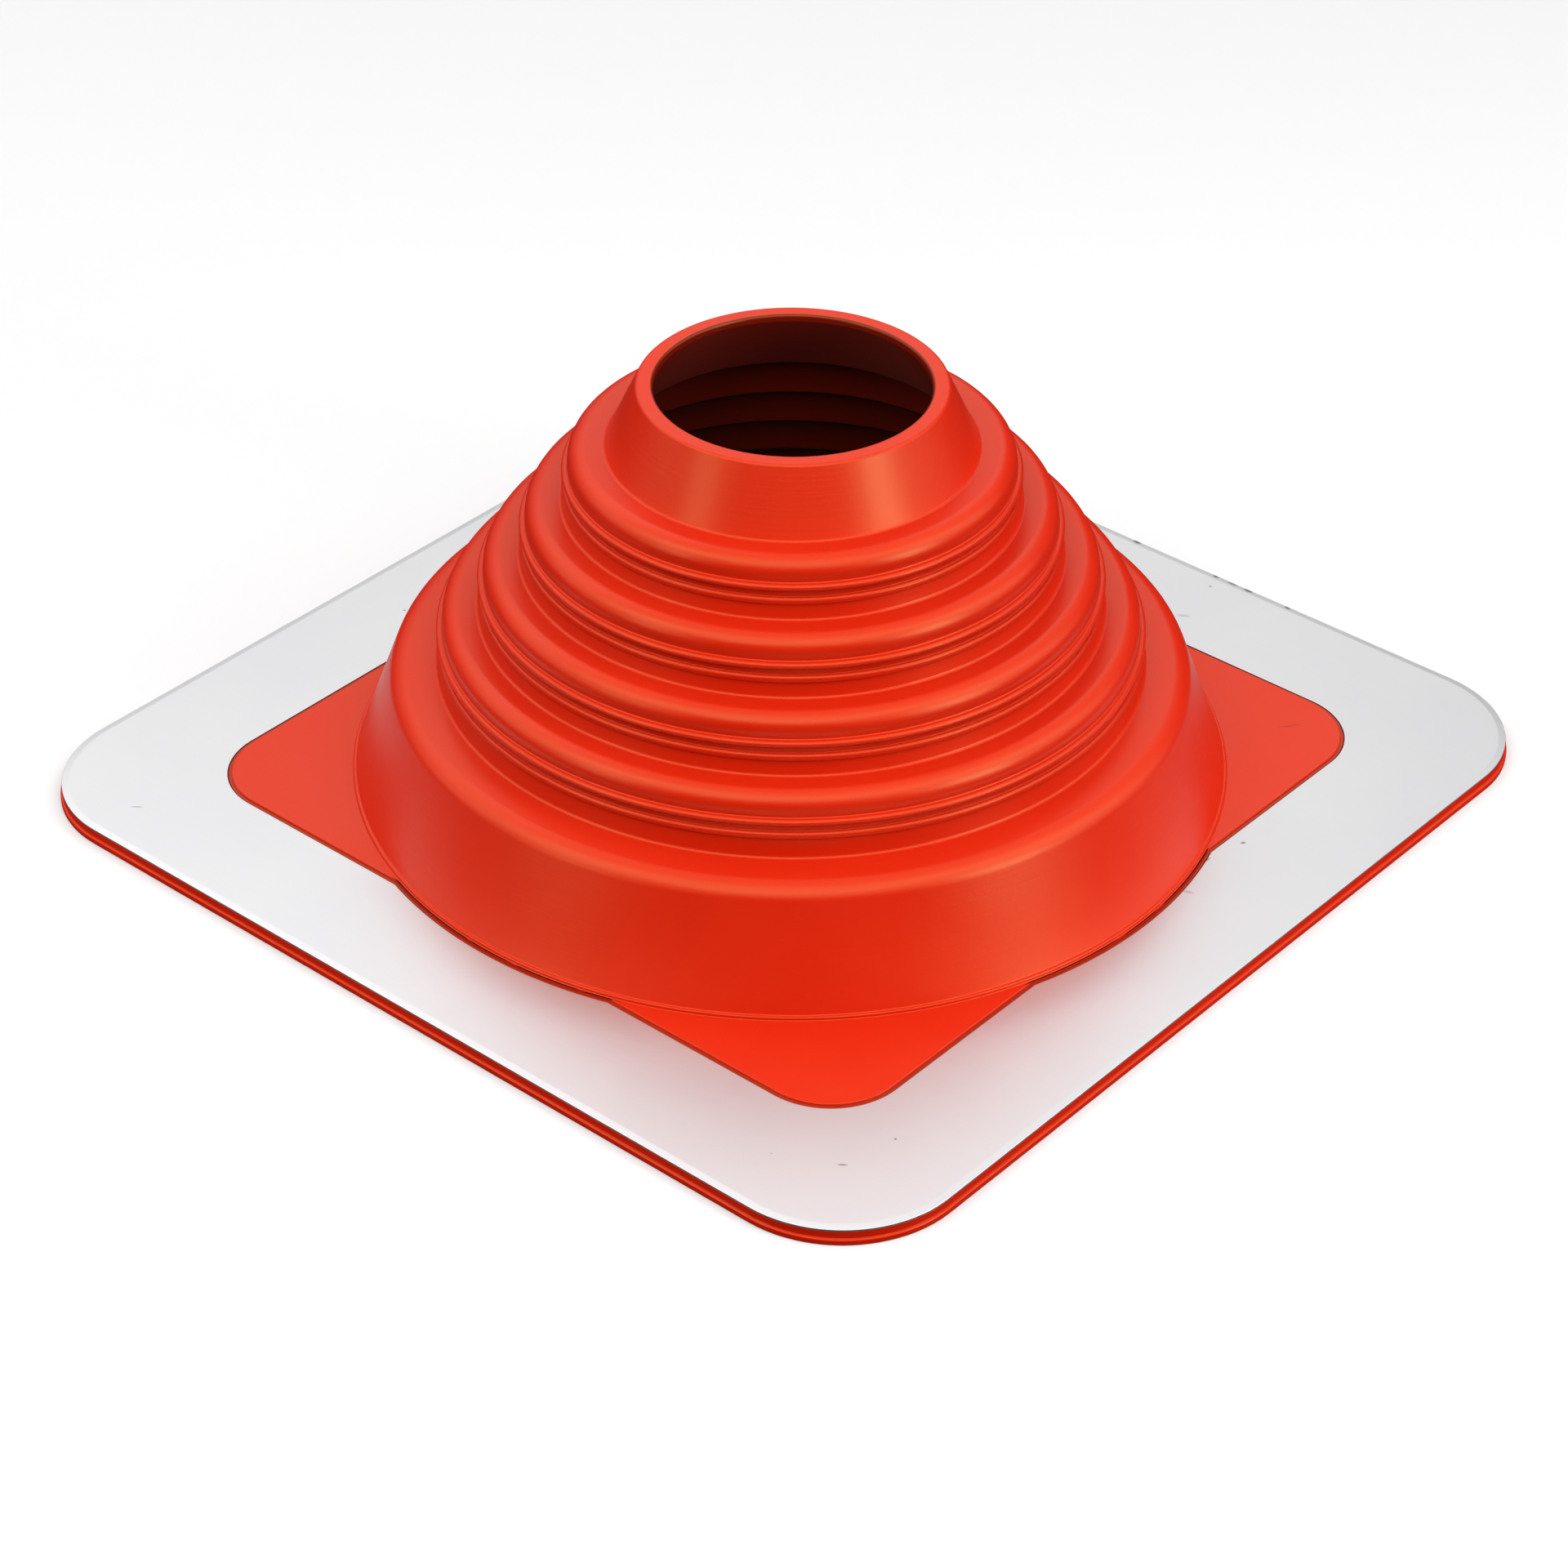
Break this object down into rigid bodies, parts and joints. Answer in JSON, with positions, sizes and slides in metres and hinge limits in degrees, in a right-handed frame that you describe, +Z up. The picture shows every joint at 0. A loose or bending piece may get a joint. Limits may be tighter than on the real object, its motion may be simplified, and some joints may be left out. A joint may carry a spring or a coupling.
{
  "type": "pipe flashing",
  "caption": "Square roof flashing for a round pipe: a stepped rubber boot with ribbed rings, moulded onto a flat aluminium frame with rounded corners.",
  "frame": {"origin": "centre of the square base, on the plane where it lies on the roof", "axes": "+Z up along the boot's axis, X and Y along the sides of the square base"},
  "size_m": [0.3112, 0.3112, 0.1244],
  "materials": {
    "red_silicone": "satin moulded silicone rubber",
    "mill_aluminium": "satin mill-finish sheet"
  },
  "bodies": {
    "root": {"rubber_boot": "red_silicone", "aluminium_frame": "mill_aluminium"}
  },
  "joints": []
}
